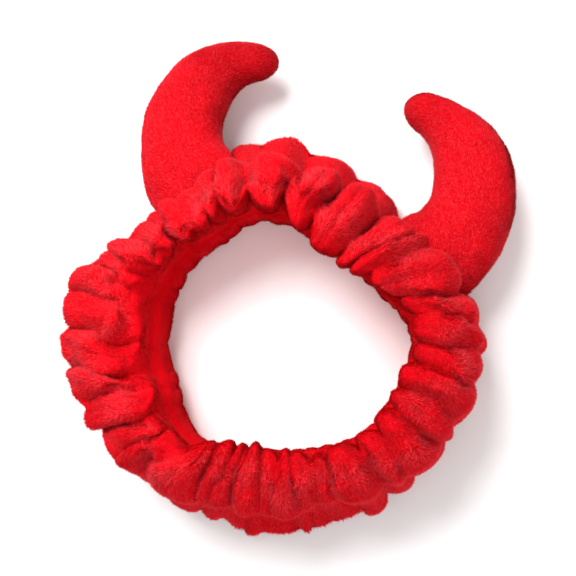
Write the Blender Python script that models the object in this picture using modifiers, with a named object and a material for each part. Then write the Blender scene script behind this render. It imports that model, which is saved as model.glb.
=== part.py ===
"""A plush headband with two stuffed horns, lying on the lower rim of its gathered band.

Metres, +Z up. The horns point forwards, to +Y. The origin is under the middle of the headband's
box, on the surface that it lies on.
"""

import math

import bmesh
import bpy
import numpy as np
from mathutils import Vector

# Band
HOLE_RADIUS = 0.0585  # mean radius of the hole for the head, with the band relaxed
BAND_THICKNESS = 0.0405  # mean radial depth, from the inner face to the puffs
BAND_WIDTH = 0.062  # from rim to rim, along the axis
FABRIC = 0.0022  # plush cloth with its pile
CREASE_DEPTH = 0.0070  # deepest crease between two puffs
SETTLE = 0.0022  # how far the lower puffs are pressed flat by the surface
SEAM_GAP = 0.0010  # slit of the long seam, along the middle of the inner face
RIM_WAVE = 0.0020  # rise and fall of the upper rim
RIM_WAVES = 3

# Horns
HORN_WIDTH = 0.048  # across the crescent, where it leaves the band
HORN_THICKNESS = 0.034  # stuffed depth, from panel to panel
HORN_TIP = 0.010  # length of the rounded tip
HORN_ROOT_HEIGHT = 0.030  # middle of the root above the surface
HORN_ROOT_SUNK = 0.016  # how far the root reaches in under the puffs
HORN_DROOP = 9.0  # degrees that a horn sags below level
SEAT_GAP = 0.0003  # between a horn's root and the band's cloth

# Mesh steps
STEPS_PER_PUFF = 5
STEPS_ROUND_HORN = 18
STEPS_ALONG_HORN = 18
MIDDLE_STEPS = 120
TANGENT_STEP = 0.05  # of a station, to either side

# Sections of the band at turns from the front, anticlockwise seen from above.
# upper and lower are the hole at the two rims, as shares of HOLE_RADIUS. crest, shoulder, belly
# and hip are shares of BAND_THICKNESS out from the inner face, from the upper rim down.
SECTION_COLUMNS = ("turn", "upper", "lower", "crest", "shoulder", "belly", "hip")
SECTIONS = (
    (-72, 1.17, 1.08, 0.33, 0.68, 0.88, 0.82),
    (-52, 0.90, 0.93, 0.33, 0.80, 0.95, 0.93),
    (-33, 0.75, 0.89, 0.33, 0.80, 0.85, 0.86),
    (-16, 0.79, 0.87, 0.31, 0.76, 0.84, 0.98),
    (2, 0.82, 0.92, 0.36, 0.72, 0.88, 1.07),
    (18, 0.92, 1.02, 0.33, 0.70, 0.90, 1.16),
    (34, 0.95, 1.08, 0.22, 0.63, 0.87, 1.05),
    (50, 0.92, 1.03, 0.19, 0.61, 0.80, 0.85),
    (68, 1.00, 1.07, 0.31, 0.68, 0.78, 0.77),
    (84, 1.07, 1.07, 0.42, 0.89, 0.92, 0.77),
    (98, 1.07, 1.08, 0.53, 1.12, 1.12, 0.81),
    (113, 1.08, 1.09, 0.60, 1.11, 1.11, 0.81),
    (133, 1.08, 1.08, 0.47, 1.00, 1.00, 0.78),
    (155, 1.13, 1.20, 0.29, 0.70, 0.87, 0.78),
    (176, 0.98, 1.11, 0.36, 0.74, 0.87, 0.96),
    (196, 0.91, 1.07, 0.33, 0.80, 0.89, 1.06),
    (216, 1.02, 1.05, 0.31, 0.66, 0.84, 0.98),
    (236, 1.15, 1.08, 0.29, 0.63, 0.81, 0.83),
    (262, 1.14, 1.07, 0.42, 0.73, 0.89, 0.83),
)

# Stations round one section, from the long seam up the inner face, over and back.
# across is out from the inner face and up is from the surface, as shares of BAND_THICKNESS and
# BAND_WIDTH. An across that is a name is read from SECTIONS. crease is a share of CREASE_DEPTH.
STATION_COLUMNS = ("across", "up", "crease")
STATIONS = (
    (0.00, 0.50, 0.10),
    (0.03, 0.80, 0.35),
    ("crest", 1.00, 0.85),
    ("shoulder", 0.84, 1.00),
    ("belly", 0.52, 0.80),
    ("hip", 0.21, 0.75),
    ("foot", 0.00, 0.45),
    (-0.02, 0.18, 0.20),
)
STATION_STEPS = (0, 0.6, 1.2, 1.7, 2.3, 3, 3.7, 4.4, 5, 5.65, 6, 6.35, 6.9, 7.4, 8)
FOOT_PAST_CREST = 0.14  # the lower rim lies this share of BAND_THICKNESS further out
STATION_OF_HORNS = 4  # the belly, which a horn's middle line passes at its turn

# Creases between the puffs, in turns from the front at the upper rim.
# drift is how many degrees a crease has moved on at the lower rim. upper and lower are its depth
# at the two rims, as shares of the station's crease. swell is how much higher than the others
# the next puff stands, and lean how many degrees its top falls over.
CREASE_COLUMNS = ("turn", "drift", "upper", "lower", "swell", "lean")
CREASES = (
    (-70.3, 1.0, 1.0, 0.8, 0.15, 0.6),
    (-62.0, 0.0, 1.2, 1.1, 0.30, -1.5),
    (-47.5, 1.0, 1.1, 0.5, 0.25, 1.0),
    (-38.5, -0.2, 0.9, 1.2, 0.10, -1.5),
    (-27.5, -1.8, 1.2, 0.8, 0.30, 2.0),
    (-7.5, 1.5, 1.2, 0.6, 0.35, -2.0),
    (10.2, -0.5, 1.1, 1.2, 0.20, -1.5),
    (26.5, 1.5, 1.2, 0.5, 0.30, 1.5),
    (38.5, 0.0, 1.2, 1.1, 0.10, -0.6),
    (46.5, 1.0, 0.8, 1.0, -0.05, 0.6),
    (54.5, 0.2, 1.1, 0.6, 0.20, 0.6),
    (62.5, -0.8, 1.1, 1.2, 0.10, -1.5),
    (72.5, 2.0, 0.8, 0.9, 0.25, 0.6),
    (81.5, 1.2, 1.3, 1.1, -0.10, 0.6),
    (89.5, 0.2, 1.0, 0.5, 0.30, -1.0),
    (106.5, -1.0, 1.1, 0.8, 0.05, -1.0),
    (120.5, 1.8, 1.2, 0.6, 0.25, -1.0),
    (129.5, 0.8, 0.8, 1.2, 0.10, 0.6),
    (138.5, -0.5, 1.2, 0.9, 0.30, 1.5),
    (155.5, 3.0, 1.1, 0.5, 0.25, 1.5),
    (171.5, 1.5, 1.2, 0.7, 0.20, 0.5),
    (178.5, 0.8, 0.9, 1.1, 0.00, 0.5),
    (185.5, 0.0, 1.2, 0.9, 0.25, -0.8),
    (193.0, -0.8, 0.8, 0.6, -0.05, 0.5),
    (199.5, 1.5, 1.3, 1.2, 0.30, 0.5),
    (206.0, 0.8, 0.8, 0.5, 0.05, -0.5),
    (212.5, 0.2, 1.2, 1.1, -0.10, 0.5),
    (220.0, 1.0, 1.0, 0.8, 0.30, -2.0),
    (232.0, 1.0, 1.3, 1.2, 0.15, 1.0),
    (241.0, 0.0, 0.8, 0.6, 0.25, 1.5),
    (252.0, 1.8, 1.2, 1.0, 0.10, -0.6),
    (260.0, 0.8, 0.8, 1.2, 0.30, 1.5),
    (271.5, -0.5, 1.2, 0.7, -0.05, 0.6),
    (280.0, 1.5, 0.8, 1.1, 0.15, -0.7),
)
FULL_PUFF = 13.0  # degrees; the creases beside a narrower puff are shallower in proportion
PUFF_ROUNDNESS = 0.75  # under 1 rounds the puffs and sharpens the creases between them

# Horns: where each root sits, how far out from straight ahead it points, how many degrees it
# curls back from root to tip, how much more of that is near the tip, its length along the
# middle line from the puffs, and the sign that says which way it curls.
HORN_COLUMNS = ("name", "turn", "splay", "curl", "hook", "length", "side")
HORNS = (
    ("horn_left", 48.2, 51.0, 149.0, 0.30, 0.102, 1),
    ("horn_right", -47.0, 37.0, 129.0, -0.10, 0.099, -1),
)

# Width and depth of a horn, as shares of HORN_WIDTH and HORN_THICKNESS, at shares of the longest
# horn's length back from the tip.
TAPER_COLUMNS = ("back", "wide", "deep")
HORN_TAPER = (
    (0.00, 0.39, 0.50),
    (0.09, 0.40, 0.54),
    (0.16, 0.47, 0.64),
    (0.25, 0.58, 0.77),
    (0.35, 0.71, 0.90),
    (0.45, 0.81, 0.98),
    (0.60, 0.86, 1.00),
    (0.80, 0.92, 0.92),
    (1.00, 1.04, 0.80),
    (1.20, 1.08, 0.74),
)

PLUSH_RED = (0.80, 0.012, 0.022, 1.0)
HORN_RED = (0.76, 0.008, 0.018, 1.0)


def column(table, columns, name):
    return [row[columns.index(name)] for row in table]


def closed_curve(knots, values, at, period):
    """Values at places on a smooth curve through the knots that closes on itself."""
    knots = np.asarray(knots, float)
    values = np.asarray(values, float)
    places = np.concatenate([knots[-2:] - period, knots, knots[:2] + period])
    heights = np.concatenate([values[-2:], values, values[:2]])
    slopes = np.gradient(heights, places, axis=0)
    at = (np.asarray(at, float) - knots[0]) % period + knots[0]
    i = np.searchsorted(places, at, side="right") - 1
    span = places[i + 1] - places[i]
    t = (at - places[i]) / span
    return (
        (2 * t**3 - 3 * t**2 + 1) * heights[i]
        + (t**3 - 2 * t**2 + t) * span * slopes[i]
        + (3 * t**2 - 2 * t**3) * heights[i + 1]
        + (t**3 - t**2) * span * slopes[i + 1]
    )


def at_turns(name, turn):
    """One column of SECTIONS, read at any turns."""
    turns = column(SECTIONS, SECTION_COLUMNS, "turn")
    return closed_curve(turns, column(SECTIONS, SECTION_COLUMNS, name), turn, 360)


def across_at(name, turn):
    """How far out from the inner face a station lies, as a share of BAND_THICKNESS."""
    if name == "foot":
        return at_turns("crest", turn) + FOOT_PAST_CREST
    if isinstance(name, str):
        return at_turns(name, turn)
    return np.full_like(turn, name)


def at_station(name, station):
    """One of the numbers in STATIONS, read anywhere round the section."""
    return closed_curve(range(len(STATIONS)), column(STATIONS, STATION_COLUMNS, name), station, len(STATIONS))


def envelope(turn, station):
    """(radius, height) of the band's outline without its creases."""
    shares = [across_at(name, turn) for name in column(STATIONS, STATION_COLUMNS, "across")]
    across = closed_curve(range(len(STATIONS)), shares, station, len(STATIONS))
    up = at_station("up", station)
    hole = at_turns("lower", turn) * (1 - up) + at_turns("upper", turn) * up
    wave = RIM_WAVE * np.sin(np.radians(RIM_WAVES * turn)) * max(0, min(1, up))
    return HOLE_RADIUS * hole + BAND_THICKNESS * across, BAND_WIDTH * up + wave - SETTLE


def band_points(stations):
    """The band's outer surface, as rows of points round the ring, one row for each station."""
    crease = {name: np.array(column(CREASES, CREASE_COLUMNS, name)) for name in CREASE_COLUMNS}
    uppers, lowers = crease["upper"], crease["lower"]
    share = np.arange(STEPS_PER_PUFF) / STEPS_PER_PUFF
    hump = np.sin(np.pi * share) ** PUFF_ROUNDNESS
    rows = []
    for station in stations:
        down = 1 - at_station("up", station)
        strength = at_station("crease", station)
        start = crease["turn"] + crease["drift"] * down
        end = np.append(start[1:], start[0] + 360)
        turn = start[:, None] + (end - start)[:, None] * share
        turn += crease["lean"][:, None] * hump * strength
        full = np.minimum((end - start) / FULL_PUFF, 1)
        near = (uppers + (lowers - uppers) * down) * np.minimum(full, np.roll(full, 1))
        depth = near[:, None] + (np.roll(near, -1) - near)[:, None] * share
        inwards = CREASE_DEPTH * strength * (depth * (1 - hump) - crease["swell"][:, None] * hump)
        turn = turn.ravel()
        radius, height = envelope(turn, station)
        before_r, before_h = envelope(turn, station - TANGENT_STEP)
        ahead_r, ahead_h = envelope(turn, station + TANGENT_STEP)
        along = np.hypot(ahead_r - before_r, ahead_h - before_h)
        out_r = (before_h - ahead_h) / along
        out_h = (ahead_r - before_r) / along
        radius = radius - inwards.ravel() * out_r
        height = np.maximum(height - inwards.ravel() * out_h, 0)
        angle = np.radians(turn + 90)
        rows.append(np.stack([radius * np.cos(angle), radius * np.sin(angle), height], axis=1))
    return np.array(rows)


def grid_mesh(name, rows, closed):
    """A mesh of quads over rows of points that each close on themselves."""
    count, around = rows.shape[:2]
    faces = []
    for i in range(count if closed else count - 1):
        for j in range(around):
            a, b = i * around, (i + 1) % count * around
            k = (j + 1) % around
            faces.append((a + j, b + j, b + k, a + k))
    mesh = bpy.data.meshes.new(name)
    mesh.from_pydata(rows.reshape(-1, 3).tolist(), [], faces)
    mesh.update()
    mesh.shade_smooth()
    return mesh


def plush(name, colour):
    """A matt plush material."""
    material = bpy.data.materials.new(name)
    material.use_nodes = True
    shader = material.node_tree.nodes["Principled BSDF"]
    shader.inputs["Base Color"].default_value = colour
    shader.inputs["Roughness"].default_value = 0.92
    shader.inputs["Metallic"].default_value = 0.0
    shader.inputs["Sheen Weight"].default_value = 0.5
    return material


def add_object(name, mesh, collection, material=None):
    obj = bpy.data.objects.new(name, mesh)
    collection.objects.link(obj)
    if material:
        mesh.materials.append(material)
    return obj


def make_band(collection):
    """One strip of plush round the ring, whose long edges meet in the seam on the inner face."""
    rows = band_points(STATION_STEPS)
    rows[0, :, 2] += SEAM_GAP / 2
    rows[-1, :, 2] -= SEAM_GAP / 2
    band = add_object("band", grid_mesh("band", rows, False), collection, plush("band_plush", PLUSH_RED))
    wall = band.modifiers.new("cloth", "SOLIDIFY")
    wall.thickness = FABRIC
    wall.offset = -1
    wall.use_rim = True
    return band


def make_seat(collection):
    """The filled band, a seat gap larger all over, which the horns' roots are cut by."""
    mesh = grid_mesh("horn_seat", band_points(STATION_STEPS[:-1]), True)
    seat = add_object("horn_seat", mesh, collection)
    swell = seat.modifiers.new("gap", "DISPLACE")
    swell.mid_level = 0
    swell.strength = SEAT_GAP
    seat.hide_render = True
    seat.display_type = "WIRE"
    return seat


def horn_size(back):
    """(half width, half depth) of a horn at a distance back from its tip."""
    longest = max(column(HORNS, HORN_COLUMNS, "length"))
    share = back / longest
    places = column(HORN_TAPER, TAPER_COLUMNS, "back")
    wide = np.interp(share, places, column(HORN_TAPER, TAPER_COLUMNS, "wide"))
    deep = np.interp(share, places, column(HORN_TAPER, TAPER_COLUMNS, "deep"))
    rounded = math.sqrt(max(0.0, 1 - max(0.0, 1 - back / HORN_TIP) ** 2))
    return HORN_WIDTH / 2 * wide * rounded, HORN_THICKNESS / 2 * deep * rounded


def horn_backs(total):
    """Distances back from the tip, close together where the tip is round."""
    round_steps = STEPS_ALONG_HORN // 3
    rounded = [HORN_TIP * (1 - math.cos(math.pi / 2 * i / round_steps)) for i in range(1, round_steps)]
    return [*rounded, *np.linspace(HORN_TIP, total, STEPS_ALONG_HORN - round_steps + 1)]


def middle_line(turn, splay, curl, hook, length, side):
    """(distances, points, directions) along a horn's middle line, from its sunk root to its tip."""
    far = np.linspace(-HORN_ROOT_SUNK, length, MIDDLE_STEPS)
    share = np.clip(far / length, 0, 1)
    facing = np.radians(splay - curl * (share + hook * (share**2 - share)))
    directions = np.stack([-side * np.sin(facing), np.cos(facing), np.zeros_like(far)], axis=1)
    steps = (directions[1:] + directions[:-1]) / 2 * np.diff(far)[:, None]
    points = np.concatenate([np.zeros((1, 3)), np.cumsum(steps, axis=0)])
    points -= points[np.argmin(abs(far))]
    ahead = np.radians(splay / 2)
    outwards = points @ np.array([-side * math.sin(ahead), math.cos(ahead), 0])
    radius, _ = envelope(np.array([turn]), STATION_OF_HORNS)
    place = math.radians(turn)
    points += radius[0] * np.array([-math.sin(place), math.cos(place), 0])
    points[:, 2] = HORN_ROOT_HEIGHT - math.tan(math.radians(HORN_DROOP)) * np.maximum(outwards, 0)
    return far, points, directions


def horn_mesh(name, turn, splay, curl, hook, length, side):
    """A crescent lofted through ovals, from its tip to a root sunk in under the puffs."""
    far, points, directions = middle_line(turn, splay, curl, hook, length, side)

    def on_line(values, back):
        return Vector([np.interp(length - back, far, values[:, axis]) for axis in range(3)])

    mesh = bmesh.new()
    tip = mesh.verts.new(on_line(points, 0))
    rings = []
    for back in horn_backs(length + HORN_ROOT_SUNK):
        point = on_line(points, back)
        half_wide, half_deep = horn_size(back)
        sideways = on_line(directions, back).cross(Vector((0, 0, 1))).normalized()
        ring = []
        for j in range(STEPS_ROUND_HORN):
            angle = 2 * math.pi * j / STEPS_ROUND_HORN
            offset = sideways * half_wide * math.cos(angle) + Vector((0, 0, half_deep * math.sin(angle)))
            ring.append(mesh.verts.new(point + offset))
        rings.append(ring)
    for j in range(STEPS_ROUND_HORN):
        k = (j + 1) % STEPS_ROUND_HORN
        mesh.faces.new((tip, rings[0][j], rings[0][k]))
        for ring, after in zip(rings, rings[1:]):
            mesh.faces.new((ring[j], after[j], after[k], ring[k]))
    mesh.faces.new(rings[-1])
    bmesh.ops.recalc_face_normals(mesh, faces=mesh.faces)
    data = bpy.data.meshes.new(name)
    mesh.to_mesh(data)
    mesh.free()
    data.shade_smooth()
    return data


def make_horn(row, seat, collection):
    """A stuffed horn whose root follows the puffs that it is sewn among."""
    name = row[0]
    horn = add_object(name, horn_mesh(*row), collection, plush(name + "_plush", HORN_RED))
    cut = horn.modifiers.new("seat", "BOOLEAN")
    cut.operation = "DIFFERENCE"
    cut.object = seat
    return horn


def centre_on_origin(parts, movers):
    """Moves everything so that the middle of the parts' box is over the origin."""
    bpy.context.view_layer.update()
    graph = bpy.context.evaluated_depsgraph_get()
    corners = []
    for part in parts:
        found = part.evaluated_get(graph)
        corners += [found.matrix_world @ Vector(corner) for corner in found.bound_box]
    shift = Vector(
        (
            -(min(c.x for c in corners) + max(c.x for c in corners)) / 2,
            -(min(c.y for c in corners) + max(c.y for c in corners)) / 2,
            -min(c.z for c in corners),
        )
    )
    for mover in movers:
        mover.location += shift


def main():
    for obj in list(bpy.data.objects):
        bpy.data.objects.remove(obj)
    scene = bpy.context.scene
    headband = bpy.data.collections.new("horns_headband")
    cutters = bpy.data.collections.new("cutters")
    scene.collection.children.link(headband)
    scene.collection.children.link(cutters)
    band = make_band(headband)
    seat = make_seat(cutters)
    horns = [make_horn(row, seat, headband) for row in HORNS]
    centre_on_origin([band, *horns], [band, seat, *horns])


main()
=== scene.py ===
"""A red plush headband with two stuffed horns: gathered band, horns, pile and stage.

Run as a script, it registers the panel and its operators, makes every piece and finishes the frame.
"""

import math

import bpy
import numpy as np
from bpy.props import FloatProperty, FloatVectorProperty, IntProperty, PointerProperty
from mathutils import Matrix, Vector, noise
from mathutils.bvhtree import BVHTree


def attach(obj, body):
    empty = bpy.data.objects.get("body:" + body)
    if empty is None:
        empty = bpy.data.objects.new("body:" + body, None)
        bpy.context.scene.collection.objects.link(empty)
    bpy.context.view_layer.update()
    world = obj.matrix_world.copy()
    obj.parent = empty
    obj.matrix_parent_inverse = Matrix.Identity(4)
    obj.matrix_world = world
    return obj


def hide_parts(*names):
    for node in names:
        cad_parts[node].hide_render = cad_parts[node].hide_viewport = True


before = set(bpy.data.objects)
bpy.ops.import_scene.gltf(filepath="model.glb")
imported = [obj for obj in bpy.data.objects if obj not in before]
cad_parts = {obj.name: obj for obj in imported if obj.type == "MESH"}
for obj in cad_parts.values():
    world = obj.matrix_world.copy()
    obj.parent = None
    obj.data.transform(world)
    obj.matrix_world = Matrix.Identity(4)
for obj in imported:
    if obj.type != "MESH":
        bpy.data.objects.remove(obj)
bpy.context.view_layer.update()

bl_info = {
    "name": "Plush horned headband",
    "version": (1, 0, 0),
    "blender": (4, 5, 0),
    "location": "View3D > Sidebar > Headband",
    "description": "Makes a gathered plush headband with two stuffed horns, and a studio stage",
    "category": "Object",
}

# The middle of the band's ring, in the part's frame.
RING_CENTRE = (0.0041, -0.0193)

# Sections of the band at turns from the front, anticlockwise seen from above.
# upper and lower are the hole at the two rims, as shares of the hole's radius. crest, shoulder,
# belly and hip are shares of the band's thickness out from the inner face, from the upper rim down.
SECTION_COLUMNS = ("turn", "upper", "lower", "crest", "shoulder", "belly", "hip")
SECTIONS = (
    (-72, 1.17, 1.08, 0.33, 0.68, 0.88, 0.82),
    (-52, 0.90, 0.93, 0.33, 0.80, 0.95, 0.93),
    (-33, 0.75, 0.89, 0.33, 0.80, 0.85, 0.86),
    (-16, 0.79, 0.87, 0.31, 0.76, 0.84, 0.98),
    (2, 0.82, 0.92, 0.36, 0.72, 0.88, 1.07),
    (18, 0.92, 1.02, 0.33, 0.70, 0.90, 1.16),
    (34, 0.95, 1.08, 0.22, 0.63, 0.87, 1.05),
    (50, 0.92, 1.03, 0.19, 0.61, 0.80, 0.85),
    (68, 1.00, 1.07, 0.31, 0.68, 0.78, 0.77),
    (84, 1.07, 1.07, 0.42, 0.89, 0.92, 0.77),
    (98, 1.07, 1.08, 0.53, 1.12, 1.12, 0.81),
    (113, 1.08, 1.09, 0.60, 1.11, 1.11, 0.81),
    (133, 1.08, 1.08, 0.47, 1.00, 1.00, 0.78),
    (155, 1.13, 1.20, 0.29, 0.70, 0.87, 0.78),
    (176, 0.98, 1.11, 0.36, 0.74, 0.87, 0.96),
    (196, 0.91, 1.07, 0.33, 0.80, 0.89, 1.06),
    (216, 1.02, 1.05, 0.31, 0.66, 0.84, 0.98),
    (236, 1.15, 1.08, 0.29, 0.63, 0.81, 0.83),
    (262, 1.14, 1.07, 0.42, 0.73, 0.89, 0.83),
)

# Stations round one section, from the long seam up the inner face, over and back.
# across is out from the inner face and up is from the surface, as shares of the band's thickness
# and width. An across that is a name is read from SECTIONS. crease is a share of the deepest.
STATION_COLUMNS = ("across", "up", "crease")
STATIONS = (
    (0.00, 0.50, 0.10),
    (0.03, 0.80, 0.35),
    ("crest", 1.00, 0.85),
    ("shoulder", 0.84, 1.00),
    ("belly", 0.52, 0.80),
    ("hip", 0.21, 0.75),
    ("foot", 0.00, 0.45),
    (-0.02, 0.18, 0.20),
)
FOOT_PAST_CREST = 0.14
STATION_OF_HORNS = 4
CREST = 2

# Forms round the band's section: the station of each one's middle, and its spread.
FORMS = {
    "inner_folds": (1.0, 0.7),
    "upper_folds": (1.7, 1.3),
    "outer_folds": (3.6, 1.3),
    "frill": (2.15, 0.90),
    "swing": (CREST, 0.75),
    "recess": (0.5, 1.1),
    "tongues": (1.0, 0.5),
    "bulge": (1.35, 0.45),
    "hollow": (0.1, 0.8),
    "raised": (1.25, 0.4),
    "cover": (1.1, 0.6),
    "shoulder": (2.8, 0.45),
    "inner_flank": (1.40, 0.30),
    "outer_flank": (2.65, 0.33),
    "waist": (3.95, 0.55),
    "tufts": (CREST, 0.8),
}

# Parts of the ring: the turn of each one's middle, and its spread in degrees. On the left the inner
# face shows, drawn smooth by the elastic.
PLACES = {
    "left": (108, 46),
    "left_horn": (42, 34),
    "front": (-18, 32),
    "right": (262, 38),
    "back": (181, 13),
    "front_waist": (8, 34),
    "back_waist": (198, 34),
}

# How many times the rim rises and falls, and two shares: the waist's least depth of its greatest,
# and the ridge's height away from the left of that on the left.
RIM_WAVES = 3
SIDE_WAIST = 0.30
RIDGE_ELSEWHERE = 0.45

# Puffs: the fewest columns of cloth in one, the power that rounds its top, the width in degrees from
# which its creases are at full depth, and how many degrees they wander.
FEWEST_COLUMNS = 4
PUFF_ROUNDNESS = 0.72
FULL_PUFF = 13.0
CREASE_WANDER = 2.1

# Where the inner face's own creases end over the crest and begin again under the band, each with
# how many stations the change takes.
INNER_CREASES = ((2.45, 0.9), (6.2, 1.2))

# Width in degrees from which a puff is split by smaller ones, and over how many more in full.
FRILL_FROM = 6
FRILL_CHANGE = 5

# Waves that make each puff differ from the next: pace from puff to puff, and phase.
WAVES = {"swing": (2.4, 0.7), "tongue": (3.7, 1.9), "frill": (5.1, 0.4), "sharpness": (7.1, 0.9)}

# Creases between the puffs, in turns from the front at the upper rim.
# drift is how many degrees a crease has moved on at the lower rim. upper and lower are its depth
# at the two rims. swell is how much higher than the others the next puff stands, and lean how
# many degrees its top falls over.
CREASE_COLUMNS = ("turn", "drift", "upper", "lower", "swell", "lean")
CREASES = (
    (-70.3, 1.0, 1.0, 0.8, 0.15, 0.6),
    (-62.0, 0.0, 1.2, 1.1, 0.30, -1.5),
    (-47.5, 1.0, 1.1, 0.5, 0.25, 1.0),
    (-38.5, -0.2, 0.9, 1.2, 0.10, -1.5),
    (-27.5, -1.8, 1.2, 0.8, 0.30, 2.0),
    (-7.5, 1.5, 1.2, 0.6, 0.35, -2.0),
    (10.2, -0.5, 1.1, 1.2, 0.20, -1.5),
    (26.5, 1.5, 1.2, 0.5, 0.30, 1.5),
    (38.5, 0.0, 1.2, 1.1, 0.10, -0.6),
    (46.5, 1.0, 0.8, 1.0, -0.05, 0.6),
    (54.5, 0.2, 1.1, 0.6, 0.20, 0.6),
    (62.5, -0.8, 1.1, 1.2, 0.10, -1.5),
    (72.5, 2.0, 0.8, 0.9, 0.25, 0.6),
    (81.5, 1.2, 1.3, 1.1, -0.10, 0.6),
    (89.5, 0.2, 1.0, 0.5, 0.30, -1.0),
    (106.5, -1.0, 1.1, 0.8, 0.05, -1.0),
    (120.5, 1.8, 1.2, 0.6, 0.25, -1.0),
    (129.5, 0.8, 0.8, 1.2, 0.10, 0.6),
    (138.5, -0.5, 1.2, 0.9, 0.30, 1.5),
    (155.5, 3.0, 1.1, 0.5, 0.25, 1.5),
    (171.5, 1.5, 1.2, 0.7, 0.20, 0.5),
    (178.5, 0.8, 0.9, 1.1, 0.00, 0.5),
    (185.5, 0.0, 1.2, 0.9, 0.25, -0.8),
    (193.0, -0.8, 0.8, 0.6, -0.05, 0.5),
    (199.5, 1.5, 1.3, 1.2, 0.30, 0.5),
    (206.0, 0.8, 0.8, 0.5, 0.05, -0.5),
    (212.5, 0.2, 1.2, 1.1, -0.10, 0.5),
    (220.0, 1.0, 1.0, 0.8, 0.30, -2.0),
    (232.0, 1.0, 1.3, 1.2, 0.15, 1.0),
    (241.0, 0.0, 0.8, 0.6, 0.25, 1.5),
    (252.0, 1.8, 1.2, 1.0, 0.10, -0.6),
    (260.0, 0.8, 0.8, 1.2, 0.30, 1.5),
    (271.5, -0.5, 1.2, 0.7, -0.05, 0.6),
    (280.0, 1.5, 0.8, 1.1, 0.15, -0.7),
)

# Horns: where each root sits, how far out from straight ahead it points, how many degrees it
# curls back from root to tip, how much more of that is near the tip, its length along the
# middle line from the puffs, and the sign that says which way it curls.
HORN_COLUMNS = ("name", "turn", "splay", "curl", "hook", "length", "side")
HORNS = (
    ("horn_left", 48.2, 51.0, 149.0, 0.30, 0.102, 1),
    ("horn_right", -47.0, 37.0, 129.0, -0.10, 0.099, -1),
)

# Width and depth of a horn, as shares of the whole, at shares of the longest horn's length back
# from the tip.
TAPER_COLUMNS = ("back", "wide", "deep")
HORN_TAPER = (
    (0.00, 0.39, 0.50),
    (0.09, 0.40, 0.54),
    (0.16, 0.47, 0.64),
    (0.25, 0.58, 0.77),
    (0.35, 0.71, 0.90),
    (0.45, 0.81, 0.98),
    (0.60, 0.86, 1.00),
    (0.80, 0.92, 0.92),
    (1.00, 1.04, 0.80),
    (1.20, 1.08, 0.74),
)

# Rows and columns of a horn's cloth, the height of its puckers, how far its seam's groove spreads,
# how far round the left horn's seam is turned, in radians, the pitch of its knitted ribs, and how
# bright its ground's dark patches are beside the rest.
HORN_ROWS = 190
HORN_AROUND = 150
PUCKER_HEIGHT = 0.0008
SEAM_SPREAD = 0.0012
SEAM_TURN = 0.55
RIB_PITCH = 0.0026
HORN_DARK = 0.55

# Camera: where it stands from the point that it and the lights aim at, which way is up in its
# view, where the upper rim's middle is in the picture, and how high that rim and that point are.
CAMERA_TURN = 70.0
CAMERA_ELEVATION = 77.0
CAMERA_DISTANCE = 0.55
CAMERA_UP = (-0.309, 0.951, 0.0)
IMAGE_SIZE = 576
RIM_CENTRE_PX = (268.5, 325.0)
PX_PER_M = 2100.0
RIM_HEIGHT = 0.058
AIM_HEIGHT = 0.03

# Floor and lights: how far the floor goes from the middle, where each light stands and how wide it is.
FLOOR_REACH = 8
KEY_PLACE = (-0.55, 0.55, 1.1)
KEY_SIZE = 0.9
FILL_PLACE = (0.6, -0.5, 1.0)
FILL_SIZE = 1.2

# Frames in which the cloth settles, how often its crumples are smoothed after that, and how far a
# horn's end reaches in past the band's cloth.
SETTLE_FRAMES = 12
SMOOTH_STEPS = 2
SEWN_IN = 0.0012

# Cloth lower than this is held by the surface as it settles, as a share of the elastic's hold.
PRESSED_HEIGHT = 0.0012
FLOOR_HOLD = 0.7

# Lowest points of the cloth before it settles, of the finished cloth and of the pile.
CAGE_FLOOR = 0.0004
CLOTH_FLOOR = 0.0005
PILE_FLOOR = 0.0001

# Pile: how far its roots are sunk, the least and greatest lean, the spread of its lean and of the
# way it lies, in radians, the shortest and longest lock and the narrowest and widest, as shares, the
# spread of its normals, and its seeds.
PILE_SUNK = 0.0002
LEAST_LEAN = 0.05
MOST_LEAN = 1.35
LEAN_SPREAD = 0.16
LIE_SPREAD = 0.45
LOCK_LENGTHS = (0.65, 1.25)
LOCK_WIDTHS = (0.7, 1.3)
NORMAL_SPREAD = 0.11
BAND_SEED = 40
HORN_SEED = 50

# A lock's tone is its place across the map: how far from the map's edges, and how wide there.
MAP_EDGE = 0.02
HALF_LOCK = 0.006


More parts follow.
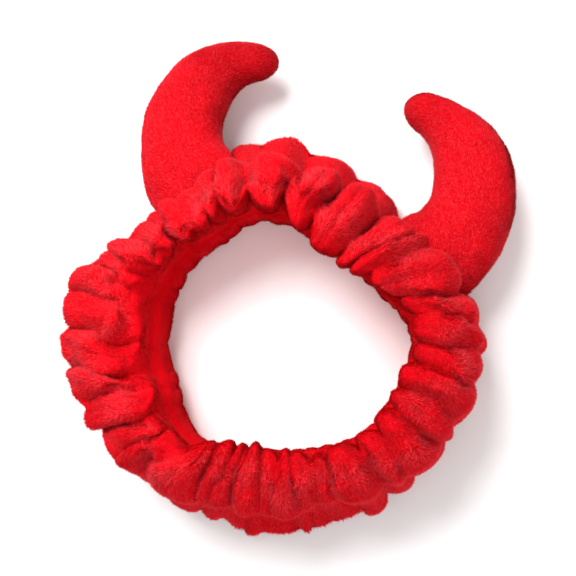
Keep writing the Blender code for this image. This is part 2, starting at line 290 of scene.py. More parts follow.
class HeadbandBand(bpy.types.PropertyGroup):
    cut_width: FloatProperty(
        name="Cut width", description="Across the flat cloth", default=0.185, unit="LENGTH"
    )
    cut_length: FloatProperty(
        name="Cut length", description="Of the cloth before it is gathered", default=0.66, unit="LENGTH"
    )
    hole_radius: FloatProperty(
        name="Hole radius", description="Mean radius of the head hole", default=0.0585, unit="LENGTH"
    )
    thickness: FloatProperty(
        name="Thickness", description="Mean radial depth of the band", default=0.0405, unit="LENGTH"
    )
    width: FloatProperty(name="Width", description="Rim to rim", default=0.062, unit="LENGTH")
    crease: FloatProperty(name="Crease depth", description="Deepest crease", default=0.0084, unit="LENGTH")
    settle: FloatProperty(
        name="Settle", description="How far the lower puffs are pressed flat", default=0.0022, unit="LENGTH"
    )
    rim_wave: FloatProperty(
        name="Rim wave", description="Rise and fall of the rim", default=0.0020, unit="LENGTH"
    )
    sunk: FloatProperty(
        name="Cloth under pile", description="How far the cloth lies under the pile's tips",
        default=0.0016, unit="LENGTH",
    )
    waist: FloatProperty(
        name="Waist", description="Depth of the groove between the two ruffles",
        default=0.0125, unit="LENGTH",
    )
    swing: FloatProperty(
        name="Swing", description="How far the crest swings in and out", default=0.0034, unit="LENGTH"
    )
    lip: FloatProperty(
        name="Lip", description="How far the ruffle stands in over the inner face",
        default=0.0036, unit="LENGTH",
    )
    overhang: FloatProperty(
        name="Overhang", description="How far the ruffle leans in over the hole",
        default=0.0040, unit="LENGTH",
    )
    cover: FloatProperty(
        name="Cover", description="How much further at the front, right and back",
        default=0.0042, unit="LENGTH",
    )
    ridge: FloatProperty(
        name="Ridge", description="How far the crest stands over its flanks, most on the left",
        default=0.0042, unit="LENGTH",
    )
    frill: FloatProperty(
        name="Frill", description="Height of the smaller puffs along the crest",
        default=0.0042, unit="LENGTH",
    )
    room: FloatProperty(
        name="Room", description="How much smaller the cloth starts, to leave room to puff up",
        default=0.0035, unit="LENGTH",
    )
    lumps: FloatProperty(name="Lumps", description="Height of broad lumps", default=0.0014, unit="LENGTH")
    tufts: FloatProperty(
        name="Tufts", description="Height of the tufts on the crest", default=0.0007, unit="LENGTH"
    )
    slack: FloatProperty(
        name="Slack", description="Share of cloth that the elastic gathers up", default=0.23
    )
    pressure: FloatProperty(
        name="Pressure", description="Pressure of the bunched cloth inside", default=60.0
    )
    reach: FloatProperty(
        name="Reach", description="Furthest that the cloth may move as it settles",
        default=0.0065, unit="LENGTH",
    )
    cage_columns: IntProperty(
        name="Cage columns", description="Columns of the simulated cloth", default=290
    )
    cage_rows: IntProperty(name="Cage rows", description="Rows of the simulated cloth", default=66)
    columns: IntProperty(name="Columns", description="Mesh columns round the ring", default=700)
    rows: IntProperty(name="Rows", description="Mesh rows round the section", default=138)
    colour: FloatVectorProperty(
        name="Colour", description="Colour of the plush",
        subtype="COLOR", size=3, default=(0.70, 0.002, 0.008),
    )
    # Mixed into the cloth in random patches as its own mottling, and darker than the plush as painted shade
    # deep in the pile.
    deep: FloatVectorProperty(
        name="Deep colour", description="Colour deep in the pile",
        subtype="COLOR", size=3, default=(0.52, 0.0, 0.003),
    )


class HeadbandHorns(bpy.types.PropertyGroup):
    width: FloatProperty(
        name="Width", description="Across the crescent at its root", default=0.048, unit="LENGTH"
    )
    thickness: FloatProperty(
        name="Thickness", description="From panel to panel", default=0.034, unit="LENGTH"
    )
    tip: FloatProperty(name="Tip", description="Length of the rounded tip", default=0.010, unit="LENGTH")
    root_height: FloatProperty(
        name="Root height", description="Middle of the root above the surface", default=0.030, unit="LENGTH"
    )
    root_sunk: FloatProperty(
        name="Root sunk", description="How far the root reaches in under the puffs",
        default=0.016, unit="LENGTH",
    )
    droop: FloatProperty(
        name="Droop", description="How far a horn sags below level, in degrees", default=9.0
    )
    sunk: FloatProperty(
        name="Cloth under pile", description="How far the cloth lies under the pile's tips",
        default=0.0006, unit="LENGTH",
    )
    dents: FloatProperty(name="Dents", description="Depth of the soft dents", default=0.0008, unit="LENGTH")
    seam: FloatProperty(
        name="Seam", description="Depth of the seam's groove", default=0.0009, unit="LENGTH"
    )
    # Darker than the band's plush, which is the same cloth: painted shade on the horns.
    colour: FloatVectorProperty(
        name="Colour", description="Colour of the plush",
        subtype="COLOR", size=3, default=(0.62, 0.001, 0.006),
    )


class HeadbandPile(bpy.types.PropertyGroup):
    band_length: FloatProperty(
        name="Band pile", description="Length of the pile on the band", default=0.0024, unit="LENGTH"
    )
    horn_length: FloatProperty(
        name="Horn pile", description="Length of the pile on the horns", default=0.0017, unit="LENGTH"
    )
    blade: FloatProperty(
        name="Lock width", description="Width of one lock of pile", default=0.00042, unit="LENGTH"
    )
    on_band: IntProperty(
        name="Locks on the band", description="Locks of pile on each third of the band", default=172000
    )
    on_horn: IntProperty(name="Locks on a horn", description="Locks of pile on each horn", default=80000)
    # A pinkish painted highlight, mixed into the tips of the locks with the highest tones.
    bright: FloatVectorProperty(
        name="Bright colour", description="Colour of the brightest tips",
        subtype="COLOR", size=3, default=(0.98, 0.075, 0.097),
    )
    tip: FloatVectorProperty(
        name="Tip colour", description="Colour of the pile's tips",
        subtype="COLOR", size=3, default=(0.80, 0.004, 0.013),
    )
    # The root colour is darker than the tip's: painted shade deep in the pile.
    root: FloatVectorProperty(
        name="Root colour", description="Colour at the pile's roots",
        subtype="COLOR", size=3, default=(0.58, 0.0, 0.003),
    )
    # The horns' pile is a darker copy of the band's pile: painted shade on the horns.
    horn_shade: FloatProperty(
        name="Deeper", description="How bright the horns are beside the band", default=0.86
    )


class HeadbandStage(bpy.types.PropertyGroup):
    floor: FloatVectorProperty(
        name="Floor", description="Colour of the floor", subtype="COLOR", size=3, default=(0.93, 0.93, 0.93)
    )
    key: FloatProperty(name="Key light", description="Power of the key light, in watts", default=25.0)
    fill: FloatProperty(name="Fill light", description="Power of the fill light, in watts", default=5.0)
    sky: FloatProperty(name="Sky", description="Strength of the light from all round", default=0.61)


def column(table, columns, name):
    return [row[columns.index(name)] for row in table]


def ramp(distance, length):
    """A rise from 0 to 1 over a length, level before and after it."""
    return np.clip(distance / length, 0, 1)


def bell(value, middle, spread):
    """A smooth bump of height 1."""
    return np.exp(-(((value - middle) / spread) ** 2))


def form(name, station):
    """One of FORMS, from 0 to 1, at any station."""
    return bell(station, *FORMS[name])


def near(name, turn):
    """One of PLACES, from 0 to 1, at any turn."""
    middle, spread = PLACES[name]
    return bell((turn - middle + 180) % 360 - 180, 0, spread)


def from_seam(station):
    """How many stations lie between a place and the long seam, by the shorter way."""
    count = len(STATIONS)
    return np.abs((station + count / 2) % count - count / 2)


def closed_curve(knots, values, at, period):
    """Values at places on a smooth curve through the knots that closes on itself."""
    knots = np.asarray(knots, float)
    values = np.asarray(values, float)
    places = np.concatenate([knots[-2:] - period, knots, knots[:2] + period])
    heights = np.concatenate([values[-2:], values, values[:2]])
    slopes = np.gradient(heights, places, axis=0)
    at = (np.asarray(at, float) - knots[0]) % period + knots[0]
    i = np.searchsorted(places, at, side="right") - 1
    span = places[i + 1] - places[i]
    t = (at - places[i]) / span
    return (
        (2 * t**3 - 3 * t**2 + 1) * heights[i]
        + (t**3 - 2 * t**2 + t) * span * slopes[i]
        + (3 * t**2 - 2 * t**3) * heights[i + 1]
        + (t**3 - t**2) * span * slopes[i + 1]
    )


def at_turns(name, turn):
    """One column of SECTIONS, read at any turns."""
    turns = column(SECTIONS, SECTION_COLUMNS, "turn")
    return closed_curve(turns, column(SECTIONS, SECTION_COLUMNS, name), turn, 360)


def across_at(name, turn):
    """How far out from the inner face a station lies, as a share of the thickness."""
    if name == "foot":
        return at_turns("crest", turn) + FOOT_PAST_CREST
    if isinstance(name, str):
        return at_turns(name, turn)
    return np.full_like(turn, name)


def round_section(values, station):
    """Values given at each of the STATIONS, read anywhere round the section."""
    return closed_curve(range(len(STATIONS)), values, station, len(STATIONS))


def at_station(name, station):
    """One of the numbers in STATIONS, read anywhere round the section."""
    return round_section(column(STATIONS, STATION_COLUMNS, name), station)


def envelope(band, turn, station):
    """(radius, height) of the band's outline without its creases."""
    shares = [across_at(name, turn) for name in column(STATIONS, STATION_COLUMNS, "across")]
    across = round_section(shares, station)
    up = at_station("up", station)
    hole = at_turns("lower", turn) * (1 - up) + at_turns("upper", turn) * up
    wave = band.rim_wave * np.sin(np.radians(RIM_WAVES * turn)) * max(0, min(1, up))
    return band.hole_radius * hole + band.thickness * across, band.width * up + wave - band.settle


def fractal(grid, size, shift=0.0, octaves=2):
    """Smooth noise over a grid of points, about -1 to 1, in lumps of about one size."""
    points = grid.reshape(-1, 3) / size + shift
    values = [noise.fractal(Vector(p), 1.0, 2.0, octaves) for p in points]
    return np.array(values).reshape(grid.shape[:2])


def normals_of(grid, closed_rows):
    """Unit normals of a grid whose columns close on themselves, outwards."""
    along = np.roll(grid, -1, axis=1) - np.roll(grid, 1, axis=1)
    if closed_rows:
        down = np.roll(grid, -1, axis=0) - np.roll(grid, 1, axis=0)
    else:
        down = np.gradient(grid, axis=0)
    return unit(np.cross(down, along))


def unit(vectors):
    """The vectors at a length of 1."""
    return vectors / np.maximum(np.linalg.norm(vectors, axis=-1, keepdims=True), 1e-12)


class Puffs:
    """The band's creases, and the columns of cloth between each of them and the next."""

    def __init__(self, columns):
        table = {name: np.array(column(CREASES, CREASE_COLUMNS, name)) for name in CREASE_COLUMNS}
        turns = table["turn"]
        widths = np.append(turns[1:], turns[0] + 360) - turns
        counts = np.maximum(np.round(widths / 360 * columns).astype(int), FEWEST_COLUMNS)
        self.crease = table
        self.order = np.arange(len(turns))
        self.puff = np.repeat(self.order, counts)
        self.share = np.concatenate([np.arange(n) / n for n in counts])
        self.hump = np.sin(np.pi * self.share) ** PUFF_ROUNDNESS
        # On the inner face the creases lie between the outer ones, less so away from the left.
        shift = 0.48 * np.minimum(widths, np.roll(widths, 1))
        self.inner_shift = shift * (0.45 + 0.55 * near("left", turns))

    def wave(self, pace, phase):
        """A number for each puff, from -1 to 1, that makes it differ from the next."""
        return np.sin(pace * self.order + phase)

    def blended(self, values):
        """Values at the creases, blended smoothly from each crease to the next."""
        between = self.share * self.share * (3 - 2 * self.share)
        return values[self.puff] * (1 - between) + np.roll(values, -1)[self.puff] * between

    def starts_and_ends(self, station):
        """The turns between which each puff lies at one station."""
        down = 1 - at_station("up", station)
        wander = CREASE_WANDER * self.wave(2.4, 1.25 * station) * at_station("crease", station)
        start = self.crease["turn"] + self.crease["drift"] * down + wander
        (top, top_change), (foot, foot_change) = INNER_CREASES
        inner = max(ramp(top - station, top_change), ramp(station - foot, foot_change))
        start = start + self.inner_shift * inner
        return start, np.append(start[1:], start[0] + 360)

    def depths(self, start, end, station):
        """How deep the creases are along the columns, less where a puff is narrow."""
        upper, lower = self.crease["upper"], self.crease["lower"]
        down = 1 - at_station("up", station)
        full = np.minimum((end - start) / FULL_PUFF, 1)
        here = (upper + (lower - upper) * down) * np.minimum(full, np.roll(full, 1))
        return here[self.puff] + (np.roll(here, -1) - here)[self.puff] * self.share


def outer_side(station, start, end, change):
    """1 over the crest and the outer face, and 0 on the inner face, at any station."""
    return ramp(station - start, change) * ramp(end - station, change)


def fold_strength(turn, station, left):
    """How much of the creases' depth shows: less on the left's outer side, more by the left horn."""
    fold = np.maximum(at_station("crease", station), 0.66 * form("inner_folds", station) * (1 - left))
    fold = fold * (1 - 0.70 * left * form("outer_folds", station))
    return fold * (1 + 0.75 * near("left_horn", turn) * form("upper_folds", station))


def waist_depth(band, turn, station):
    """The groove round the middle of the outer face, deepest at the front and back."""
    deepest = np.maximum(near("front_waist", turn), 0.85 * near("back_waist", turn))
    return band.waist * form("waist", station) * np.maximum(deepest, SIDE_WAIST)


def moved_in(band, turn, station, inwards):
    """(radius, height) of the band's outline, moved in square to the section."""
    radius, height = envelope(band, turn, station)
    before_r, before_h = envelope(band, turn, station - 0.05)
    ahead_r, ahead_h = envelope(band, turn, station + 0.05)
    along = np.hypot(ahead_r - before_r, ahead_h - before_h)
    radius = radius - inwards * (before_h - ahead_h) / along
    return radius, height - inwards * (ahead_r - before_r) / along


def lip_moves(band, puffs, station, left):
    """The two outward moves that part the ruffle's edge, in tongues, from the left's inner face."""
    tongue = puffs.blended(puffs.wave(*WAVES["tongue"]))
    edge = 1.05 + 0.30 * left + 0.42 * tongue
    on_inner_side = station < 4
    lip = 1 / (1 + np.exp(-(station - edge) / 0.10)) if on_inner_side else np.ones_like(left)
    recess = (1 - lip) * form("recess", station)
    stands_in = lip * bell(station, edge + 0.3, 0.42) * on_inner_side * puffs.hump
    parted = band.lip * left * (recess - 0.3 * stands_in)
    return parted, band.lip * left * (0.9 - 1.5 * tongue) * form("tongues", station)


def cover(turn):
    """Where the ruffle leans in over the hole: the front, and less at the right and the back."""
    front = np.maximum(near("front", turn), 0.55 * bell(turn % 360, *PLACES["right"]))
    return np.maximum(front, 0.65 * bell(turn % 360, *PLACES["back"]))


def ruffled(band, puffs, turn, station, left, wide, radius, height):
    """(radius, height) with the crest swung in and out, leant in over the hole and raised."""
    swing = puffs.blended(puffs.wave(*WAVES["swing"]))
    twist = np.sin(2 * np.pi * puffs.share)
    radius = radius + band.swing * swing * form("swing", station)
    radius = radius + band.swing * wide * twist * puffs.wave(*WAVES["frill"])[puffs.puff]
    for move in lip_moves(band, puffs, station, left):
        radius = radius + move
    bulge = form("bulge", station) * (0.35 + 0.65 * puffs.hump) - 0.6 * form("hollow", station)
    radius = radius - band.overhang * (1 - left) * bulge + 0.5 * band.overhang * form("shoulder", station)
    height = height + 0.8 * band.overhang * (1 - left) * form("raised", station)
    radius = radius - band.cover * cover(turn) * form("cover", station)
    flank = form("inner_flank", station) + 0.7 * form("outer_flank", station)
    sharpness = 0.7 + 0.5 * puffs.wave(*WAVES["sharpness"])[puffs.puff]
    return radius, height - band.ridge * np.maximum(left, RIDGE_ELSEWHERE) * flank * sharpness


def cloth_row(band, puffs, station):
    """(points, left) of the band's cloth at one station; left is 1 on the left and 0 elsewhere."""
    puff, share, hump = puffs.puff, puffs.share, puffs.hump
    start, end = puffs.starts_and_ends(station)
    lean = puffs.crease["lean"][puff] * hump * at_station("crease", station)
    turn = start[puff] + (end - start)[puff] * share + lean
    left = near("left", turn)
    depth = puffs.depths(start, end, station)
    relief = depth * (1 - hump) - puffs.crease["swell"][puff] * hump
    inwards = band.crease * fold_strength(turn, station, left) * relief + band.sunk
    inwards = inwards + waist_depth(band, turn, station)
    inwards = inwards + band.room * (1 + 0.40 * left) * outer_side(station, 0.9, 6.9, change=0.9)
    wide = ramp(end - start - FRILL_FROM, FRILL_CHANGE)[puff] * form("frill", station)
    inwards = inwards + band.frill * wide * (0.6 - np.abs(np.sin(2 * np.pi * share)) ** 0.8)
    radius, height = moved_in(band, turn, station, inwards)
    radius, height = ruffled(band, puffs, turn, station, left, wide, radius, height)
    angle = np.radians(turn + 90)
    return np.stack([radius * np.cos(angle), radius * np.sin(angle), height], axis=1), left


def band_cage(band):
    """(points, stations, left) of the cloth before it settles, in rows that close on each other."""
    puffs = Puffs(band.cage_columns)
    stations = np.arange(band.cage_rows) / band.cage_rows * len(STATIONS)
    rows = [cloth_row(band, puffs, station) for station in stations]
    grid = np.array([points for points, left in rows])
    left = np.array([left for points, left in rows])
    station = np.repeat(stations[:, None], grid.shape[1], axis=1)
    rough = band.lumps * (0.2 + 0.8 * outer_side(station, 0.8, 6.6, change=1.0)) * (1 + 0.7 * left)
    lumps = fractal(grid, size=0.020, shift=3.0, octaves=3)
    grid = grid + normals_of(grid, True) * (rough * lumps)[..., None]
    grid[..., 2] = np.maximum(grid[..., 2], CAGE_FLOOR)
    return grid, station, left


def settled(band, cage, station, left):
    """The cage after its cloth, cut longer than the elastic lets it lie, has gathered and puffed up."""
    obj = grid_object("cage", cage, closed_rows=True)
    scene = bpy.context.scene
    pins = obj.vertex_groups.new(name="elastic")
    inner = ramp(0.9 + 0.85 * left - from_seam(station), 0.8)
    held = np.maximum(inner, FLOOR_HOLD * (cage[..., 2] < PRESSED_HEIGHT)).ravel()
    for i in np.flatnonzero(held > 0.02):
        pins.add([int(i)], float(held[i]), "REPLACE")
    cloth = obj.modifiers.new("cloth", "CLOTH")
    cloth.settings.quality = 5
    cloth.settings.mass = 0.01
    cloth.settings.tension_stiffness = 15
    cloth.settings.compression_stiffness = 15
    cloth.settings.bending_stiffness = 1.5
    cloth.settings.air_damping = 2
    cloth.settings.vertex_group_mass = "elastic"
    cloth.settings.shrink_min = -band.slack
    cloth.settings.use_pressure = True
    cloth.settings.uniform_pressure_force = band.pressure
    cloth.settings.effector_weights.gravity = 0
    cloth.collision_settings.use_collision = False
    cloth.point_cache.frame_start = 1
    cloth.point_cache.frame_end = SETTLE_FRAMES
    for frame_number in range(1, SETTLE_FRAMES + 1):
        scene.frame_set(frame_number)
    found = obj.evaluated_get(bpy.context.evaluated_depsgraph_get())
    moved = points_of(found, cage.shape)
    scene.frame_set(1)
    bpy.data.objects.remove(obj)
    shift = moved - cage
    far = np.maximum(np.linalg.norm(shift, axis=-1, keepdims=True), 1e-9)
    grid = cage + shift * band.reach * np.tanh(far / band.reach) / far
    for _ in range(SMOOTH_STEPS):
        near_by = np.roll(grid, 1, axis=0) + np.roll(grid, -1, axis=0)
        near_by = near_by + np.roll(grid, 1, axis=1) + np.roll(grid, -1, axis=1)
        grid = 0.5 * grid + 0.125 * near_by
    return grid


def finer(grid, rows, columns):
    """A grid that closes both ways, read on a smooth surface at more rows and columns."""
    for axis, count in ((0, rows), (1, columns)):
        size = grid.shape[axis]
        at = np.arange(count) * size / count
        i = np.floor(at).astype(int)
        t = (at - i).reshape((-1, 1, 1) if axis == 0 else (1, -1, 1))
        knots = [np.take(grid, (i + k) % size, axis=axis) for k in (-1, 0, 1, 2)]
        grid = (
            knots[0] * (-t + 2 * t**2 - t**3)
            + knots[1] * (2 - 5 * t**2 + 3 * t**3)
            + knots[2] * (t + 4 * t**2 - 3 * t**3)
            + knots[3] * (t**3 - t**2)
        ) / 2
    return grid


def band_grid(band):
    """The band's cloth in rows from the long seam round to it, fine enough for its small gathers."""
    cage, station, left = band_cage(band)
    cage = settled(band, cage, station, left)
    grid = finer(cage, band.rows, band.columns)
    station = np.arange(band.rows)[:, None] / band.rows * len(STATIONS) + np.zeros(grid.shape[:2])
    tufts = fractal(grid, size=0.0055, shift=9.0)
    soft = fractal(grid, size=0.0120, shift=2.0)
    height = band.tufts * tufts * (0.25 + form("tufts", station)) + 0.5 * band.tufts * soft
    grid = grid + normals_of(grid, True) * height[..., None]
    grid[..., 2] = np.maximum(grid[..., 2], CLOTH_FLOOR)
    grid[..., :2] += RING_CENTRE
    return np.concatenate([grid, grid[:1]])


def middle_line(band, horns, turn, splay, curl, hook, length, side):
    """(distances, points, directions) along a horn's middle line, from its sunk root to its tip."""
    far = np.linspace(-horns.root_sunk, length, 400)
    share = ramp(far, length)
    facing = np.radians(splay - curl * (share + hook * (share**2 - share)))
    directions = np.stack([-side * np.sin(facing), np.cos(facing), np.zeros_like(far)], axis=1)
    steps = (directions[1:] + directions[:-1]) / 2 * np.diff(far)[:, None]
    points = np.concatenate([np.zeros((1, 3)), np.cumsum(steps, axis=0)])
    points -= points[np.argmin(abs(far))]
    ahead = np.radians(splay / 2)
    outwards = points @ np.array([-side * math.sin(ahead), math.cos(ahead), 0])
    radius, _ = envelope(band, np.array([turn]), STATION_OF_HORNS)
    place = math.radians(turn)
    points += radius[0] * np.array([-math.sin(place), math.cos(place), 0])
    points[:, 2] = horns.root_height - math.tan(math.radians(horns.droop)) * np.maximum(outwards, 0)
    points[:, :2] += RING_CENTRE
    return far, points, directions


def tapered(name, share):
    """One column of HORN_TAPER, smoothed, at shares of the longest horn's length from the tip."""
    places = column(HORN_TAPER, TAPER_COLUMNS, "back")
    knots = np.linspace(0, places[-1], 60)
    values = np.interp(knots, places, column(HORN_TAPER, TAPER_COLUMNS, name))
    values = np.convolve(np.pad(values, 4, mode="edge"), np.ones(9) / 9, "valid")
    return np.interp(share, knots, values)


def along_line(far, values, at):
    """Vectors given along a middle line, read at other distances."""
    return np.stack([np.interp(at, far, values[:, k]) for k in range(3)], axis=1)


def horn_grid(band, horns, turn, splay, curl, hook, length, side):
    """(points, distances) in rows from a horn's tip back to its root."""
    far, points, directions = middle_line(band, horns, turn, splay, curl, hook, length, side)
    tip_rows = HORN_ROWS // 4
    bend = np.linspace(0.04, math.pi / 2, tip_rows)
    straight = np.linspace(horns.tip, length + horns.root_sunk, HORN_ROWS - tip_rows + 1)[1:]
    back = np.concatenate([horns.tip * (1 - np.cos(bend)), straight])
    share = back / max(column(HORNS, HORN_COLUMNS, "length"))
    rounded = np.sqrt(np.clip(1 - np.clip(1 - back / horns.tip, 0, 1) ** 2, 0, 1))
    half_wide = (horns.width / 2 * tapered("wide", share) - horns.sunk) * rounded
    half_deep = (horns.thickness / 2 * tapered("deep", share) - horns.sunk) * rounded
    sideways = np.cross(along_line(far, directions, length - back), [0, 0, 1.0])
    sideways /= np.linalg.norm(sideways, axis=1, keepdims=True)
    angle = np.linspace(0, 2 * math.pi, HORN_AROUND, endpoint=False)
    grid = (
        along_line(far, points, length - back)[:, None, :]
        + sideways[:, None, :] * (half_wide[:, None] * np.cos(angle)[None, :])[..., None]
        + np.array([0, 0, 1.0]) * (half_deep[:, None] * np.sin(angle)[None, :])[..., None]
    )
    dents = fractal(grid, size=0.030, shift=5.0, octaves=3)
    puckers = fractal(grid, size=0.009, shift=11.0)
    root = ramp(back - length * 0.72, length * 0.28)[:, None]
    height = horns.dents * dents + PUCKER_HEIGHT * puckers * (0.25 + root)
    seam_at = math.pi - SEAM_TURN if side > 0 else 0.0
    gap = (angle - seam_at + math.pi) % (2 * math.pi) - math.pi
    from_edge = gap[None, :] * np.maximum(half_wide, half_deep)[:, None]
    height = height - horns.seam * bell(from_edge, 0, SEAM_SPREAD) * rounded[:, None]
    return grid - normals_of(grid, False) * height[..., None], back


def trimmed(grid, back, cloth):
    """A horn's rows with each line from tip to root ended just inside the cloth that it is sewn to."""
    faces = [tuple(p.vertices) for p in cloth.data.polygons]
    tree = BVHTree.FromPolygons([v.co for v in cloth.data.vertices], faces)
    start = len(back) // 2
    result = grid.copy()
    for j in range(grid.shape[1]):
        end = back[-1]
        for i in range(start, len(back) - 1):
            step = Vector(grid[i + 1, j] - grid[i, j])
            place, _, _, far = tree.ray_cast(Vector(grid[i, j]), step.normalized(), step.length)
            if place is not None:
                end = min(end, back[i] + far + SEWN_IN)
                break
        share = ramp(back - back[start], back[-1] - back[start])
        wanted = np.where(back > back[start], back[start] + share * (end - back[start]), back)
        for axis in range(3):
            result[:, j, axis] = np.interp(wanted, back, grid[:, j, axis])
    return result


def linked_object(name, mesh):
    """A new object in the scene, over a mesh."""
    obj = bpy.data.objects.new(name, mesh)
    bpy.context.scene.collection.objects.link(obj)
    return obj


def grid_object(name, grid, closed_rows=False, cap=False):
    """An object over rows of points that each close on themselves."""
    count, around = grid.shape[:2]
    i = np.arange(count if closed_rows else count - 1)[:, None]
    j = np.arange(around)[None, :]
    a, b, k = i * around, (i + 1) % count * around, (j + 1) % around
    quads = np.stack([a + j, b + j, b + k, a + k], axis=-1).reshape(-1, 4)
    faces = quads.tolist()
    points = grid.reshape(-1, 3)
    if cap:
        points = np.concatenate([points, grid[:1].mean(axis=1), grid[-1:].mean(axis=1)])
        first, last, end = len(points) - 2, len(points) - 1, (count - 1) * around
        faces += [(first, n, (n + 1) % around) for n in range(around)]
        faces += [(last, end + (n + 1) % around, end + n) for n in range(around)]
    mesh = bpy.data.meshes.new(name)
    mesh.from_pydata(points.tolist(), [], faces)
    mesh.update()
    mesh.shade_smooth()
    obj = linked_object(name, mesh)
    obj["around"] = around
    return obj


def points_of(obj, shape):
    """The first points of an object's mesh, in rows and columns."""
    points = np.empty(3 * len(obj.data.vertices), np.float32)
    obj.data.vertices.foreach_get("co", points)
    return points[: math.prod(shape)].reshape(shape).astype(float)


def grid_of(name):
    """The rows of points that an object was made over."""
    obj = bpy.data.objects[name]
    around = obj["around"]
    return points_of(obj, (len(obj.data.vertices) // around, around, 3))


def pile_object(name, grid, chosen, locks, length, blade, rng, stand, lay, painted_light):
    """Locks of pile over the chosen quads of a grid, each one a blade with its own tone.

    length, stand, lay and lift are given for each quad: the pile's length, its lean from upright,
    in radians, the way that it leans on the cloth, and how much brighter its locks are, which is
    painted highlight and painted shade.
    """
    q = np.roll(grid, -1, axis=1)
    a, b, c, d = grid[:-1], q[:-1], grid[1:], q[1:]
    areas = 0.5 * np.linalg.norm(np.cross(d - a, c - b), axis=-1) * chosen
    picks = rng.choice(areas.size, size=locks, p=(areas / areas.sum()).ravel())
    i, j = np.unravel_index(picks, areas.shape)
    s, t = rng.random(locks)[:, None], rng.random(locks)[:, None]
    at = a[i, j] * (1 - s) * (1 - t) + b[i, j] * s * (1 - t) + c[i, j] * (1 - s) * t + d[i, j] * s * t
    normals = normals_of(grid, False)[i, j]
    down = (c - a)[i, j]
    down = unit(down - normals * (down * normals).sum(axis=1, keepdims=True))
    across = np.cross(normals, down)
    swirl = lay[i, j] + rng.normal(0, LIE_SPREAD, locks)
    heading = down * np.cos(swirl)[:, None] + across * np.sin(swirl)[:, None]
    lean = np.clip(stand[i, j] + rng.normal(0, LEAN_SPREAD, locks), LEAST_LEAN, MOST_LEAN)
    up = normals * np.cos(lean)[:, None] + heading * np.sin(lean)[:, None]
    side = unit(np.cross(up, normals))
    long = (length[i, j] * rng.uniform(*LOCK_LENGTHS, locks))[:, None]
    wide = blade * rng.uniform(*LOCK_WIDTHS, locks)[:, None] / 2
    base = at - normals * PILE_SUNK
    points = np.stack([base - side * wide, base + side * wide, base + up * long], axis=1).reshape(-1, 3)
    points[:, 2] = np.maximum(points[:, 2], PILE_FLOOR)
    mesh = bpy.data.meshes.new(name)
    mesh.vertices.add(3 * locks)
    mesh.vertices.foreach_set("co", points.ravel())
    mesh.loops.add(3 * locks)
    mesh.loops.foreach_set("vertex_index", np.arange(3 * locks))
    mesh.polygons.add(locks)
    mesh.polygons.foreach_set("loop_start", 3 * np.arange(locks))
    # Each lock's tone, raised or lowered by the painted highlight and painted shade.
    tone = np.clip(rng.beta(4.0, 4.0, locks) + painted_light[i, j], 0, 1) * (1 - 2 * MAP_EDGE) + MAP_EDGE
    root, tip = np.full(locks, MAP_EDGE), np.full(locks, 1 - MAP_EDGE)
    corners = np.stack([tone - HALF_LOCK, root, tone + HALF_LOCK, root, tone, tip], axis=1)
    mesh.uv_layers.new(name="OFBake").data.foreach_set("uv", corners.ravel())
    mesh.update()
    mesh.validate()
    soft = normals * 0.80 + up * 0.30 + rng.normal(0, NORMAL_SPREAD, (locks, 3))
    soft /= np.linalg.norm(soft, axis=1, keepdims=True)
    mesh.shade_smooth()
    mesh.normals_split_custom_set_from_vertices(np.repeat(soft, 3, axis=0).tolist())
    return linked_object(name, mesh)


def set_socket(tree, socket, value):
    """Sets a socket to a value, or links it where the value is another node's socket."""
    if isinstance(value, bpy.types.NodeSocket):
        tree.links.new(value, socket)
    else:
        socket.default_value = value


def add_node(tree, kind, **sockets):
    """A node with its inputs set or linked by name."""
    node = tree.nodes.new(kind)
    for name, value in sockets.items():
        set_socket(tree, node.inputs[name.replace("_", " ")], value)
    return node


def calculated(tree, operation, *values):
    """The result of a Math node."""
    node = tree.nodes.new("ShaderNodeMath")
    node.operation = operation
    for socket, value in zip(node.inputs, values):
        set_socket(tree, socket, value)
    return node.outputs[0]


def mapped(tree, value, **limits):
    """The result of a Map Range node."""
    return add_node(tree, "ShaderNodeMapRange", Value=value, **limits).outputs[0]


def mix_colours(tree, factor, first, second):
    """The colour put out by a Mix node."""
    node = tree.nodes.new("ShaderNodeMix")
    node.data_type = "RGBA"
    for place, value in ((0, factor), (6, first), (7, second)):
        set_socket(tree, node.inputs[place], value)
    return node.outputs[2]


def new_group(name, inputs, outputs):
    """(group, given, results): a shader group with named sockets, and the sockets inside it."""
    group = bpy.data.node_groups.new(name, "ShaderNodeTree")
    for in_out, sockets in (("INPUT", inputs), ("OUTPUT", outputs)):
        for label, kind in sockets.items():
            group.interface.new_socket(label, in_out=in_out, socket_type="NodeSocket" + kind)
    given = group.nodes.new("NodeGroupInput").outputs
    return group, given, group.nodes.new("NodeGroupOutput").inputs


def nap_group():
    """Shader group: colour and height of napped cloth, mottled where the pile lies differently."""
    group, given, results = new_group(
        "Nap",
        {"Light": "Color", "Dark": "Color", "Patch Scale": "Float", "Fibre Scale": "Float"},
        {"Color": "Color", "Height": "Float"},
    )
    where = group.nodes.new("ShaderNodeTexCoord").outputs["Object"]
    patches = add_node(
        group, "ShaderNodeTexNoise", Vector=where, Scale=given["Patch Scale"], Detail=3.0, Distortion=0.6
    )
    fibres = add_node(
        group, "ShaderNodeTexNoise", Vector=where, Scale=given["Fibre Scale"], Detail=4.0, Roughness=0.7
    )
    height = calculated(group, "MULTIPLY_ADD", fibres.outputs["Fac"], 0.7, patches.outputs["Fac"])
    spread = mapped(group, height, From_Min=0.62, From_Max=1.05)
    colour = mix_colours(group, spread, given["Dark"], given["Light"])
    group.links.new(colour, results["Color"])
    group.links.new(height, results["Height"])


